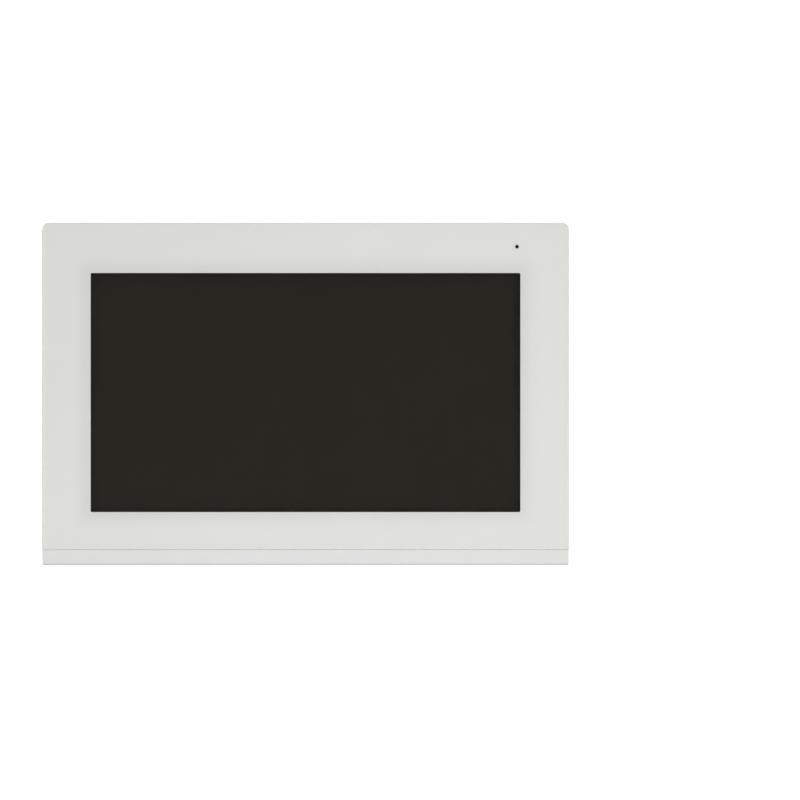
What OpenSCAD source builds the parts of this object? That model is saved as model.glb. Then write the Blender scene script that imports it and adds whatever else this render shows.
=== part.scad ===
// Wall-mounted video intercom monitor with a 7 inch touch display.
// X runs to the right as the display is read, Z runs up, and the display looks along -Y.
// The origin is on the wall, at the centre of the steel bracket that the monitor hangs on.

/* [Monitor] */
// Width over the front glass
body_w = 189.2; // [188:0.1:192]
// Height from the top edge to the underside
body_h = 123; // [122:0.1:125]
// Depth from the front glass to the wall
body_d = 22; // [22:0.1:24]
// Wall thickness of the front frame
frame_wall = 2.2; // [1.8:0.1:2.4]
// Wall thickness of the rear cover
cover_wall = 2; // [1.6:0.1:2.2]
// Width and depth of the bevel round the rear cover
cover_bevel = 4.4; // [3:0.1:4.4]

/* [Front glass] */
// Thickness of the front glass
glass_t = 2; // [1.5:0.1:2.2]
// Corner radius at the top of the front glass
glass_r = 2.6; // [1:0.1:4]
// Height of the sloping chin below the glass
chin_h = 5.65; // [5:0.05:6]
// Width of the clear window
window_w = 154.4; // [150:0.1:156]
// Height of the clear window
window_h = 85.9; // [84:0.1:86.5]
// Height of the window's centre above the centre of the body
window_z = 0.55; // [0:0.05:1]
// Distance of the microphone hole to the right of the centre
mic_x = 76; // [74:0.5:78]
// Diameter of the microphone hole
mic_hole_d = 1.3; // [0.8:0.1:1.6]

/* [Wall bracket] */
// Width and height of the bracket plate
plate_size = 84; // [82:1:85]
// Thickness of the bracket's steel
plate_t = 1.2; // [1:0.1:1.4]
// Distance between the two wall box screws
box_pitch = 60; // [60]
// Distance between the corner screw holes
corner_pitch = 68; // [66:1:70]
// Diameter of the wall screw holes
wall_hole_d = 4.5; // [4:0.1:5]
// Height that a hook's finger stands above its neck
hook_h = 5; // [4:0.1:5]
// Height that the monitor is raised to come off its hooks
lift = 6; // [6]

/* [Controls] */
// Travel of the power switch
switch_travel = 2; // [1.5:0.1:2]
// Height of the card slot above the centre
card_z = 11; // [10:0.5:12]
// Height of the reset hole above the centre
reset_z = -2; // [-3:0.5:-1]
// Height of the power switch above the centre
switch_z = -12; // [-13:0.5:-11.5]

/* [Hidden] */
$fn = 48;

// Clearances between pieces
gap = 0.1;
play = 0.3;

// Outline of the body
half_w = body_w / 2;
top_z = body_h / 2;
glass_bottom = chin_h - top_z;
glass_foot_r = 0.5;
// The frame stands this far inside the glass on its sides and top
frame_inset = 0.1;
frame_half_w = half_w - frame_inset;
frame_top = top_z - frame_inset;
frame_bottom_r = 0.5;
inner_half_w = frame_half_w - frame_wall;
inner_top = frame_top - frame_wall;
inner_bottom = frame_wall - top_z;

// Layers from the front glass back to the wall, as places along Y
glass_front = -body_d;
glass_back = glass_front + glass_t;
print_t = 0.15;
print_back = glass_back + print_t;
tape_t = 0.3;
tape_back = print_back + tape_t;
face_t = 1.6;
face_back = tape_back + face_t;
touch_t = 0.7;
touch_back = print_back + touch_t;
lcd_t = 3.5;
lcd_back = face_back + lcd_t;
sheet_t = 0.4;
plate_front = lcd_back + 0.05;
mid_plate_t = 0.8;
mid_back = plate_front + mid_plate_t;
standoff_h = 1;
board_front = mid_back + standoff_h;
board_t = 1.6;
board_back = board_front + board_t;
parting = -6.2;
cover_back = -1;
cover_inside = cover_back - cover_wall;
recess_floor = -4.2;
recess_inside = recess_floor - 1.8;

// Display module, which hangs lower than the window because its ribbon edge is at the bottom
lcd_half_w = 82.45;
lcd_top = window_z + window_h / 2 + 5.4;
lcd_bottom = window_z - window_h / 2 - 8.6;
opening_w = 162;
opening_h = 94;
// Notch in the frame's face where the touch ribbon passes
notch_x = 26;
notch_w = 18;
notch_bottom = -53.5;

// Screw posts
boss_x = 86.2;
boss_z = 52.5;
boss_r = 3.2;
clamp_z = 28;
clamp_r = 3;
pilot_r = 1.25;

// Circuit board
board_left = -38;
board_right = 80;
board_half_h = 40;
tongue_right = 91;
tongue_half_h = 20;
board_screw_x = [-34, 76];
board_screw_z = 36;

// Wire headers, in a row at this height: number of pins and place of the row's left end
header_z = -14;
header_pitch = 2.5;
header_pins_n = [2, 4, 4, 4];
header_wall = 0.75;
header_depth = 5.75;
header_h = 7;
header_gap = 1.2;
header_w = [for (n = header_pins_n) (n - 1) * header_pitch + 4.9];
function sum_before(v, n) = n <= 0 ? 0 : v[n - 1] + sum_before(v, n - 1);
header_row_w = sum_before(header_w, len(header_w)) + header_gap * (len(header_w) - 1);
function header_x(i) = -header_row_w / 2 + sum_before(header_w, i) + header_gap * i + header_w[i] / 2;
function pin_places(i) =
    [for (k = [0 : header_pins_n[i] - 1]) (k - (header_pins_n[i] - 1) / 2) * header_pitch];
bay_w = header_row_w + 3;
bay_h = 9.5;

// Bracket
hook_x = 34.5;
hook_tops = [14, -22];
hook_w = 8;
hook_bend = 0.4;
window_half_w = 27;
window_half_h = 22;
recess_half_w = plate_size / 2 + 0.8;
recess_top = plate_size / 2 + 0.8;
recess_bottom = -plate_size / 2 - lift - 0.8;
finger_front = recess_inside - play - plate_t;

// Speaker
speaker_x = -66;
speaker_z = -14;
speaker_r = 18;
speaker_gasket_t = 0.8;
flange_t = 0.6;
flange_back = cover_inside - speaker_gasket_t;
flange_front = flange_back - flange_t;
cone_r = 12.3;
roll_r = 15;
shoulder_r = 13.4;
shoulder_y = flange_front - 0.6;
coil_r = 7.3;
yoke_r = 9.5;
yoke_back = flange_front - 4;
yoke_front = yoke_back - 3.6;
speaker_screw_r = 20;
speaker_screw_angles = [90, 210, 330];

// Microphone, level with the hole in the glass
mic_z = top_z - 8.55;
mic_r = 3;

// Vents
vent_w = 1.6;
vent_pitch = 4.2;
vent_count = 15;
rear_vent_count = 25;

// Extrudes a shape drawn in X and Z from y0 to y1
module slab(y0, y1) {
    translate([0, y1, 0]) rotate([90, 0, 0]) linear_extrude(y1 - y0) children();
}

// Extrudes a shape drawn in Y and Z from x0 to x1
module along_x(x0, x1) {
    translate([x0, 0, 0]) rotate([90, 0, 90]) linear_extrude(x1 - x0) children();
}

// A round bar along Y at x and z
module pin_y(x, z, r, y0, y1) {
    translate([x, y1, z]) rotate([90, 0, 0]) cylinder(r = r, h = y1 - y0);
}

// Turns a profile drawn as radius and Y about the line along Y at x and z
module turned_y(x, z) {
    translate([x, 0, z]) rotate([-90, 0, 0]) rotate_extrude() children();
}

// A rectangle from its edges, with its own radius at the top and at the bottom corners
module panel(left, right, bottom, top, r_top, r_bottom) {
    translate([left + r_bottom, bottom]) square([right - left - 2 * r_bottom, top - bottom - r_top]);
    translate([left + r_top, bottom + r_bottom])
        square([right - left - 2 * r_top, top - bottom - r_bottom]);
    translate([left, bottom + r_bottom]) square([right - left, top - bottom - r_top - r_bottom]);
    for (x = [left + r_top, right - r_top]) translate([x, top - r_top]) circle(r_top);
    for (x = [left + r_bottom, right - r_bottom]) translate([x, bottom + r_bottom]) circle(r_bottom);
}

module rounded(w, h, r) {
    panel(-w / 2, w / 2, -h / 2, h / 2, r, r);
}

// A pan head screw along Y, its head at the wall side
module pan_screw(x, z, seat, r, head_r, head_h, reach) {
    drive_w = 0.7;
    drive_d = head_h * 0.55;
    difference() {
        union() {
            pin_y(x, z, r, seat - reach, seat);
            pin_y(x, z, head_r, seat, seat + head_h);
        }
        for (turn = [0, 90])
            translate([x, seat + head_h - drive_d / 2 + 0.1, z])
                rotate([0, turn, 0])
                    cube([head_r * 1.25, drive_d + 0.2, drive_w], center = true);
    }
}

// A flat strip of ribbon that follows points in Y and Z
function unit(v) = v / norm(v);
function bent_normal(path, i) =
    let (before = path[max(i - 1, 0)], after = path[min(i + 1, len(path) - 1)], d = unit(after - before))
    [-d.y, d.x];
module ribbon(path, t, x, w) {
    outline = concat(
        [for (i = [0 : len(path) - 1]) path[i] + bent_normal(path, i) * t / 2],
        [for (i = [len(path) - 1 : -1 : 0]) path[i] - bent_normal(path, i) * t / 2]
    );
    along_x(x - w / 2, x + w / 2) polygon(outline);
}
function arc(c, r, a0, a1, n) =
    [for (i = [0 : n]) c + r * [cos(a0 + (a1 - a0) * i / n), sin(a0 + (a1 - a0) * i / n)]];

// A round wire through points in space, smoothed between them
wire_sides = 8;
function smooth_point(a, b, c, d, t) =
    0.5 * (2 * b + (c - a) * t + (2 * a - 5 * b + 4 * c - d) * t * t + (3 * b - a - 3 * c + d) * t * t * t);
function smooth_path(p, steps) = concat(
    [for (i = [0 : len(p) - 2], s = [0 : steps - 1])
        smooth_point(p[max(i - 1, 0)], p[i], p[i + 1], p[min(i + 2, len(p) - 1)], s / steps)],
    [p[len(p) - 1]]
);
module wire(route, r, across) {
    path = smooth_path(route, 3);
    last = len(path) - 1;
    rings = [for (i = [0 : last])
        let (d = unit(path[min(i + 1, last)] - path[max(i - 1, 0)]))
        let (n = unit(cross(d, across)), b = cross(d, n))
        for (k = [0 : wire_sides - 1])
            path[i] + r * (cos(360 * k / wire_sides) * n + sin(360 * k / wire_sides) * b)];
    sides = [for (i = [0 : last - 1], k = [0 : wire_sides - 1])
        let (a = i * wire_sides + k, b = i * wire_sides + (k + 1) % wire_sides)
        each [[a, b, b + wire_sides], [a, b + wire_sides, a + wire_sides]]];
    ends = [
        [for (k = [wire_sides - 1 : -1 : 0]) k],
        [for (k = [0 : wire_sides - 1]) last * wire_sides + k]
    ];
    polyhedron(points = rings, faces = concat(sides, ends));
}

// Stamped steel plate with two slotted holes for a wall box, four corner holes and four hooks
module bend_quarter(y, z, turn) {
    translate([y, z]) rotate(turn) intersection() {
        difference() {
            circle(hook_bend + plate_t);
            circle(hook_bend);
        }
        square(hook_bend + plate_t);
    }
}

module hook(x, top) {
    neck_front = finger_front + plate_t + hook_bend;
    neck_back = -plate_t - hook_bend;
    along_x(x - hook_w / 2, x + hook_w / 2) {
        translate([neck_front, top - plate_t]) square([neck_back - neck_front, plate_t]);
        translate([finger_front, top + hook_bend]) square([plate_t, hook_h - hook_bend]);
        bend_quarter(neck_front, top + hook_bend, 180);
        bend_quarter(neck_back, top - plate_t - hook_bend, 0);
    }
}

module wall_bracket() {
    slot_reach = 4;
    notch_margin = 0.3;
    notch_reach = 10;
    bend_drop = plate_t + hook_bend;
    color("silver") {
        difference() {
            slab(-plate_t, 0) rounded(plate_size, plate_size, 4);
            slab(-plate_t - 1, 1) rounded(2 * window_half_w, 2 * window_half_h, 3);
            for (side = [-1, 1]) {
                for (end = [-1, 1])
                    pin_y(0, side * box_pitch / 2 + end * (slot_reach - wall_hole_d / 2),
                        wall_hole_d / 2, -plate_t - 1, 1);
                slab(-plate_t - 1, 1) translate([0, side * box_pitch / 2])
                    square([wall_hole_d, 2 * slot_reach - wall_hole_d], center = true);
                for (up = [-1, 1])
                    pin_y(side * corner_pitch / 2, up * corner_pitch / 2, wall_hole_d / 2, -plate_t - 1, 1);
                for (top = hook_tops)
                    slab(-plate_t - 1, 1)
                        translate([side * hook_x - hook_w / 2 - notch_margin, top - bend_drop])
                            square([hook_w + 2 * notch_margin, notch_reach + bend_drop]);
            }
        }
        for (side = [-1, 1], top = hook_tops) hook(side * hook_x, top);
        // the strip of plate under each hook, where the tongue turns out of the plate
        for (side = [-1, 1], top = hook_tops)
            slab(-plate_t, 0)
                translate([side * hook_x - hook_w / 2, top - bend_drop - 0.2])
                    square([hook_w, 0.2]);
    }
}

// Clear front panel, with a hole over the microphone
module front_glass() {
    color([0.86, 0.88, 0.86]) difference() {
        slab(glass_front, glass_back) panel(-half_w, half_w, glass_bottom, top_z, glass_r, glass_foot_r);
        pin_y(mic_x, mic_z, mic_hole_d / 2, glass_front - 1, glass_back + 1);
    }
}

// White ink on the back of the glass, open at the window
module printed_border() {
    edge = 0.02;
    color("white") difference() {
        slab(glass_back, print_back)
            panel(
                edge - half_w, half_w - edge, glass_bottom + edge, top_z - edge,
                glass_r - edge, glass_foot_r - edge
            );
        slab(glass_back - 1, print_back + 1) translate([0, window_z]) rounded(window_w, window_h, 0.5);
        pin_y(mic_x, mic_z, mic_hole_d / 2, glass_back - 1, print_back + 1);
    }
}

module face_opening() {
    translate([0, window_z]) rounded(opening_w, opening_h, 1.5);
    translate([notch_x - notch_w / 2, notch_bottom]) square([notch_w, window_z - notch_bottom]);
}

// Tape that holds the glass in the frame
module adhesive_tape() {
    edge = 1.4;
    color([0.9, 0.9, 0.88]) difference() {
        slab(print_back, tape_back)
            panel(-half_w + edge, half_w - edge, glass_bottom + edge, top_z - edge, glass_r - 1, 1);
        slab(print_back - 1, tape_back + 1) face_opening();
        pin_y(mic_x, mic_z, mic_hole_d, print_back - 1, tape_back + 1);
    }
}

module touch_sensor() {
    margin = 0.5;
    color([0.75, 0.8, 0.82]) slab(print_back, touch_back) translate([0, window_z])
        rounded(opening_w - 2 * margin, opening_h - 2 * margin, 1);
}

ribbon_t = 0.3;
ribbon_lift = 0.35;
ribbon_y = board_back + ribbon_lift;
zif_z = -37;
module touch_flex() {
    start_y = touch_back - ribbon_t / 2 - 0.1;
    path = concat(
        [[start_y, window_z - opening_h / 2 + 0.45]],
        arc([start_y + 1.2, -51.4], 1.2, 180, 270, 5),
        arc([ribbon_y - 1.6, -51], 1.6, -90, 0, 5),
        [[ribbon_y, zif_z - 2]]
    );
    color("darkorange") ribbon(path, ribbon_t, notch_x, 12);
}

// Foam between the touch sensor and the display
module foam_gasket() {
    color([0.12, 0.12, 0.12]) slab(touch_back, face_back) translate([0, window_z]) difference() {
        rounded(opening_w - 2, opening_h - 2, 1);
        rounded(window_w + 2, window_h + 2.1, 0.5);
    }
}

module lcd_outline(inset) {
    panel(-lcd_half_w + inset, lcd_half_w - inset, lcd_bottom + inset, lcd_top - inset, 0.8, 0.8);
}

// Opening in the display's lower edge where its ribbon leaves
ribbon_w = 28;
module ribbon_gate() {
    translate([-ribbon_w / 2 - 1, face_back + sheet_t, lcd_bottom - 1])
        cube([ribbon_w + 2, lcd_t - 2 * sheet_t, 3.2]);
}

module lcd_bezel() {
    color("lightgray") difference() {
        slab(face_back, lcd_back - 2 * sheet_t) lcd_outline(0);
        slab(face_back + sheet_t, lcd_back) lcd_outline(sheet_t);
        slab(face_back - 1, lcd_back) translate([0, window_z]) rounded(window_w + 1.6, window_h + 1.8, 0.5);
        ribbon_gate();
    }
}

cell_t = 1.4;
cell_front = face_back + sheet_t + 0.05;
module lcd_cell() {
    color([0.15, 0.15, 0.14]) slab(cell_front, cell_front + cell_t)
        panel(-lcd_half_w + 1.2, lcd_half_w - 1.2, lcd_bottom + 1.8, lcd_top - 1.2, 0.3, 0.3);
}

film_front = cell_front + cell_t + 0.05;
film_t = 0.35;
module diffuser_film() {
    color("white") slab(film_front, film_front + film_t)
        panel(-lcd_half_w + 1.6, lcd_half_w - 1.6, lcd_bottom + 3, lcd_top - 1.6, 0.3, 0.3);
}

guide_front = film_front + film_t + 0.03;
guide_back = lcd_back - sheet_t - 0.03;
module light_guide() {
    color([0.85, 0.92, 0.95]) slab(guide_front, guide_back)
        panel(-lcd_half_w + 1.6, lcd_half_w - 1.6, lcd_bottom + 3, lcd_top - 1.6, 0.3, 0.3);
}

// Row of diodes that lights the guide from its lower edge
module led_strip() {
    led_count = 24;
    strip_half_w = 76;
    color("gold") {
        slab(guide_back - 0.25, guide_back)
            panel(-strip_half_w, strip_half_w, lcd_bottom + 1, lcd_bottom + 2.9, 0.2, 0.2);
        for (i = [0 : led_count - 1])
            translate([(i - (led_count - 1) / 2) * 6.2 - 1.5, guide_front, lcd_bottom + 1.9])
                cube([3, guide_back - guide_front - 0.25, 1]);
    }
}

module backlight_tray() {
    clear = sheet_t + 0.05;
    color("gainsboro") difference() {
        slab(cell_front + cell_t, lcd_back) lcd_outline(clear);
        slab(cell_front, lcd_back - sheet_t) lcd_outline(clear + sheet_t);
        ribbon_gate();
    }
}

module lcd_flex() {
    start_y = cell_front + cell_t / 2;
    path = concat(
        [[start_y, lcd_bottom + 1.7]],
        arc([start_y + 1.4, lcd_bottom - 0.4], 1.4, 180, 270, 5),
        arc([ribbon_y - 1.6, lcd_bottom - 0.2], 1.6, -90, 0, 5),
        [[ribbon_y, zif_z - 2]]
    );
    color("darkorange") ribbon(path, ribbon_t, 0, ribbon_w);
}

// Section of the frame seen from the side, with the chin sloping back below the glass
module frame_side() {
    chin_front = glass_front + 0.7;
    chin_top = glass_bottom - 0.05;
    chin_tilt = 18;
    nose_r = 0.3;
    foot_r = 1.6;
    nose = [chin_front + nose_r, chin_top - nose_r];
    inward = [cos(chin_tilt), sin(chin_tilt)];
    down = [inward.y, -inward.x];
    // how far the sloping face runs between the rounded nose and the rounded foot
    face_h = (nose.y + (foot_r - nose_r) * inward.y - foot_r + top_z) / inward.x;
    foot = nose + (foot_r - nose_r) * inward + face_h * down;
    polygon(concat(
        [[print_back, frame_top + 1], [parting, frame_top + 1], [parting, -top_z]],
        arc(foot, foot_r, -90, chin_tilt - 180, 8),
        arc(nose, nose_r, 180 + chin_tilt, 90, 5),
        [[print_back, chin_top]]
    ));
}

// Slots in the top and bottom walls
module edge_vents(z0, z1) {
    vent_front = -15;
    vent_back = -8.6;
    for (i = [0 : vent_count - 1])
        translate([(i - (vent_count - 1) / 2) * vent_pitch - vent_w / 2, vent_front, z0])
            cube([vent_w, vent_back - vent_front, z1 - z0]);
}

control_h = 3.2;
switch_y = board_back + control_h / 2;
knob_w = 1.8;
knob_h = 2.4;
card_y = board_back + 0.8;
reset_y = board_back + control_h / 2;
// Openings in the right wall for the card, the power switch and the reset pin
module side_openings() {
    outside = frame_half_w + 1;
    along_x(inner_half_w - 1, outside) translate([card_y, card_z]) square([1.6, 12.2], center = true);
    along_x(frame_half_w - 0.9, outside) translate([card_y, card_z]) rounded(4.4, 16, 2);
    along_x(inner_half_w - 1, outside)
        translate([switch_y, switch_z]) square([knob_w + 0.6, knob_h + switch_travel + 0.8], center = true);
    along_x(frame_half_w - 0.9, outside) translate([switch_y, switch_z]) rounded(4.4, 8.6, 1.4);
    translate([inner_half_w - 1, reset_y, reset_z]) rotate([0, 90, 0]) cylinder(r = 0.75, h = 5);
}

// White front shell: the face behind the glass, the side walls and the chin
module front_frame() {
    color("whitesmoke") difference() {
        union() {
            difference() {
                intersection() {
                    slab(glass_front, parting)
                        panel(
                            -frame_half_w, frame_half_w, -top_z, frame_top,
                            glass_r - frame_inset, frame_bottom_r
                        );
                    along_x(-half_w, half_w) frame_side();
                }
                slab(face_back, parting + 1)
                    panel(-inner_half_w, inner_half_w, inner_bottom, inner_top, 1, 1);
            }
            for (side = [-1, 1]) {
                for (up = [-1, 1]) pin_y(side * boss_x, up * boss_z, boss_r, face_back, parting - 1.2);
                for (up = [-1, 1]) pin_y(side * boss_x, up * clamp_z, clamp_r, face_back, plate_front);
            }
        }
        // pocket for the tape
        slab(print_back - 1, tape_back)
            panel(-half_w + 1.4, half_w - 1.4, glass_bottom + 1.4, top_z - 1.4, glass_r - 1, 1);
        slab(print_back - 1, face_back + 1) face_opening();
        pin_y(mic_x, mic_z, mic_hole_d, print_back - 1, face_back + 1);
        for (side = [-1, 1], up = [-1, 1]) {
            pin_y(side * boss_x, up * boss_z, pilot_r + 0.05, parting - 9.2, parting);
            pin_y(side * boss_x, up * clamp_z, pilot_r + 0.05, face_back - 0.6, plate_front + 1);
        }
        edge_vents(inner_top - 1, frame_top + 1);
        edge_vents(-top_z - 1, inner_bottom + 1);
        side_openings();
    }
}

// Steel plate behind the display, which carries the circuit board
module mid_plate() {
    tab_w = 9;
    color("silver") difference() {
        union() {
            slab(plate_front, mid_back) {
                panel(-lcd_half_w + 1, lcd_half_w - 1, lcd_bottom + 2, lcd_top - 1, 2, 2);
                for (up = [-1, 1])
                    translate([0, up * clamp_z]) rounded(2 * (boss_x + clamp_r - 0.6), tab_w, 1.5);
            }
            for (x = board_screw_x, up = [-1, 1])
                pin_y(x, up * board_screw_z, 2.8, mid_back, board_front);
        }
        for (side = [-1, 1], up = [-1, 1])
            pin_y(side * boss_x, up * clamp_z, 1.6, plate_front - 1, mid_back + 1);
        for (x = board_screw_x, up = [-1, 1])
            pin_y(x, up * board_screw_z, pilot_r, plate_front - 1, board_front + 1);
        // lightening windows either side of the board
        slab(plate_front - 1, mid_back + 1) {
            translate([-62, 22]) rounded(30, 30, 3);
            translate([20, 0]) rounded(56, 40, 3);
        }
    }
}

module plate_screws() {
    color("lightgray") for (side = [-1, 1], up = [-1, 1])
        pan_screw(side * boss_x, up * clamp_z, mid_back, 1.25, 2.4, 1.6, 4.4);
}

module main_board() {
    color("darkgreen") difference() {
        slab(board_front, board_back) {
            panel(board_left, board_right, -board_half_h, board_half_h, 1.5, 1.5);
            panel(board_right - 2, tongue_right, -tongue_half_h, tongue_half_h, 0.8, 0.8);
        }
        for (x = board_screw_x, up = [-1, 1])
            pin_y(x, up * board_screw_z, 1.5, board_front - 1, board_back + 1);
    }
}

module board_screws() {
    color("lightgray") for (x = board_screw_x, up = [-1, 1])
        pan_screw(x, up * board_screw_z, board_back, 1.2, 2.2, 1.4, 2.9);
}

// A chip on the wall side of the board
module chip(x, z, w, h, t) {
    slab(board_back, board_back + t) translate([x, z]) rounded(w, h, 0.3);
}

soc_x = 55;
soc_z = 6;
soc_t = 1.2;
module processor() {
    color("dimgray") chip(soc_x, soc_z, 16, 16, soc_t);
}

module heatsink() {
    base_t = 1;
    fin_h = 3.5;
    fin_count = 6;
    sink = 14;
    fin_t = 1;
    fin_pitch = (sink - fin_t) / (fin_count - 1);
    base_y = board_back + soc_t;
    color("darkslategray") {
        slab(base_y, base_y + base_t) translate([soc_x, soc_z]) rounded(sink, sink, 0.3);
        for (i = [0 : fin_count - 1])
            translate([soc_x - sink / 2 + i * fin_pitch, base_y + base_t, soc_z - sink / 2])
                cube([fin_t, fin_h, sink]);
    }
}

module memory_chips() {
    color("dimgray") {
        chip(50, 26, 13, 9, 1);
        chip(30, 8, 8, 6, 1.5);
        chip(8, 26, 12, 12, 1.2);
        chip(26, -28, 5, 6, 1.5);
        chip(70, -30, 7, 7, 1);
        chip(-26, 4, 5, 6, 1.5);
    }
}

module power_inductors() {
    color("gray") for (p = [[-18, -28], [48, -30], [10, 4]])
        chip(p.x, p.y, 7, 7, 3);
}

module capacitors() {
    color("silver") for (p = [[62, -12], [62, -20], [71, -12], [54, -20]]) {
        chip(p.x, p.y, 6.6, 6.6, 0.6);
        pin_y(p.x, p.y, 3.15, board_back + 0.6, board_back + 6);
    }
}

// Sockets that take the two ribbons
module ribbon_connectors() {
    zif_h = 5;
    zif_t = 1.6;
    color("ivory") for (c = [[0, ribbon_w + 3], [notch_x, 15]])
        difference() {
            slab(board_back, board_back + zif_t) translate([c.x, zif_z]) square([c.y, zif_h], center = true);
            translate([c.x - c.y / 2 + 1, ribbon_y - ribbon_t / 2 - 0.05, zif_z - zif_h / 2 - 1])
                cube([c.y - 2, ribbon_t + 0.1, 3]);
        }
}

// Shrouded sockets for the door station and camera cables and the supply
module wire_headers() {
    color("ivory") for (i = [0 : len(header_w) - 1])
        translate([header_x(i), 0, header_z]) difference() {
            slab(board_back, board_back + header_h) square([header_w[i], header_depth], center = true);
            slab(board_back + 1.2, board_back + header_h + 1)
                square([header_w[i] - 2 * header_wall, header_depth - 2 * header_wall], center = true);
            for (x = pin_places(i))
                slab(board_back - 1, board_back + 3) translate([x, 0]) square(0.66, center = true);
            // keying slots in the upper wall
            for (side = [-1, 1])
                translate([side * (header_w[i] / 2 - 2.4) - 0.5, board_back + 3, header_depth / 2 - 1])
                    cube([1, header_h, 2]);
        }
}

module header_pins() {
    color("gold") for (i = [0 : len(header_w) - 1], x = pin_places(i))
        slab(board_back, board_back + 6)
            translate([header_x(i) + x, header_z]) square(0.64, center = true);
}

// Two-pin plugs on the speaker and microphone leads, and where their wires enter
plug_y = board_back + 1.6;
speaker_plug = [-33, -4];
mic_plug = [68, 34];
module lead_plugs() {
    color("ivory") for (p = [speaker_plug, mic_plug])
        slab(board_back, board_back + 3.2) translate(p) rounded(5.6, 4.6, 0.3);
}

// Spring-loaded socket for a memory card, its mouth towards the right wall
module card_socket() {
    socket_w = 14;
    socket_d = 14.5;
    socket_t = 1.5;
    color("silver") difference() {
        slab(board_back, board_back + socket_t)
            translate([tongue_right - socket_d / 2, card_z]) rounded(socket_d, socket_w, 0.3);
        translate([tongue_right - socket_d + 1, board_back + 0.35, card_z - 5.6])
            cube([socket_d, 0.9, 11.2]);
    }
}

// Power switch: fixed body, and the knob that slides up and down in it
module slide_switch() {
    body = [4.4, control_h, 8.6];
    stem_room = knob_h + switch_travel + 0.4;
    color("lightgray") translate([tongue_right - body.x, board_back, switch_z]) difference() {
        translate([0, 0, -body.z / 2]) cube(body);
        translate([body.x / 2, 0.65, -stem_room / 2]) cube([body.x, body.y - 1.3, stem_room]);
    }
}

knob_tip = half_w - 0.3;
module switch_knob() {
    root = tongue_right - 2;
    color([0.15, 0.15, 0.15])
        translate([root, switch_y - knob_w / 2 + 0.05, switch_z - switch_travel / 2 - knob_h / 2])
            cube([knob_tip - root, knob_w - 0.1, knob_h]);
}

// Reset switch: fixed body, and the plunger behind the pinhole
reset_size = [3.6, control_h, 6];
plunger_r = 0.9;
plunger_front = tongue_right - 0.2;
module reset_switch() {
    color("dimgray") difference() {
        translate([tongue_right - reset_size.x - 1, board_back, reset_z - reset_size.z / 2]) cube(reset_size);
        translate([tongue_right - 3, reset_y, reset_z])
            rotate([0, 90, 0]) cylinder(r = plunger_r + 0.1, h = 3);
    }
}

module reset_plunger() {
    color("black") translate([plunger_front - 2.2, reset_y, reset_z])
        rotate([0, 90, 0]) cylinder(r = plunger_r, h = 2.2);
}

// Microphone capsule with felt on its face, in a rubber boot whose nose seals to the glass
felt_t = 0.3;
felt_front = face_back + 0.7;
mic_front = felt_front + felt_t;
mic_back = mic_front + 2.2;
module mic_boot() {
    nose_r = mic_hole_d - 0.05;
    sound_r = 0.5;
    color([0.1, 0.1, 0.1]) difference() {
        union() {
            pin_y(mic_x, mic_z, nose_r, print_back + 0.05, face_back);
            pin_y(mic_x, mic_z, mic_r + 0.8, face_back, felt_front + 2);
        }
        pin_y(mic_x, mic_z, mic_r, felt_front, felt_front + 3);
        pin_y(mic_x, mic_z, sound_r, print_back - 1, felt_front + 1);
    }
}

module mic_felt() {
    color([0.1, 0.1, 0.1]) pin_y(mic_x, mic_z, mic_r - 0.3, felt_front, mic_front);
}

module microphone() {
    color("silver") pin_y(mic_x, mic_z, mic_r - 0.02, mic_front, mic_back);
}

wire_r = 0.4;
wire_gap = 0.65;
module mic_leads() {
    color("crimson") for (side = [-1, 1]) wire([
        [mic_x + side * wire_gap, mic_back, mic_z],
        [mic_x + side * wire_gap, mic_back + 1.7, mic_z - 0.4],
        [mic_x - 1.5 + side * wire_gap, plug_y - 0.8, mic_z - 5],
        [mic_plug.x + 1.5 + side * wire_gap, plug_y, mic_plug.y + 7],
        [mic_plug.x + side * wire_gap, plug_y, mic_plug.y + 2.3]
    ], wire_r, [1, 0, 0]);
}

module speaker_basket() {
    sheet = 0.6;
    shoulder_front = shoulder_y - sheet;
    collar_back = yoke_back - 0.5;
    window_count = 4;
    window_place = 11.85;
    color("gray") difference() {
        turned_y(speaker_x, speaker_z) polygon([
            [speaker_r, flange_back], [roll_r - 0.4, flange_back], [roll_r - 0.4, shoulder_y],
            [shoulder_r, shoulder_y], [shoulder_r - 0.2, shoulder_front], [yoke_r + 1.1, collar_back],
            [yoke_r, collar_back], [yoke_r, collar_back - sheet], [yoke_r + 1.4, collar_back - sheet],
            [shoulder_r + 0.4, shoulder_front], [roll_r + 0.2, shoulder_front],
            [roll_r + 0.2, flange_front], [speaker_r, flange_front]
        ]);
        for (i = [0 : window_count - 1]) {
            a = 45 + 90 * i;
            x = speaker_x + window_place * cos(a);
            z = speaker_z + window_place * sin(a);
            pin_y(x, z, 1.2, yoke_front, shoulder_front - 0.1);
        }
    }
}

// Steel cup that closes the magnet's field round the coil
module speaker_yoke() {
    cup_wall = 1;
    color("silver") turned_y(speaker_x, speaker_z) polygon([
        [0, yoke_front], [yoke_r, yoke_front], [yoke_r, yoke_back],
        [yoke_r - cup_wall, yoke_back], [yoke_r - cup_wall, yoke_front + cup_wall], [0, yoke_front + cup_wall]
    ]);
}

magnet_r = 6.3;
module speaker_magnet() {
    color("dimgray") pin_y(speaker_x, speaker_z, magnet_r, yoke_front + 1, yoke_back - 0.8);
}

module speaker_pole_plate() {
    color("silver") pin_y(speaker_x, speaker_z, magnet_r, yoke_back - 0.8, yoke_back);
}

module voice_coil() {
    color("chocolate") turned_y(speaker_x, speaker_z)
        translate([coil_r - 0.2, yoke_back - 1.6]) square([0.5, 2.8]);
}

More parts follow.
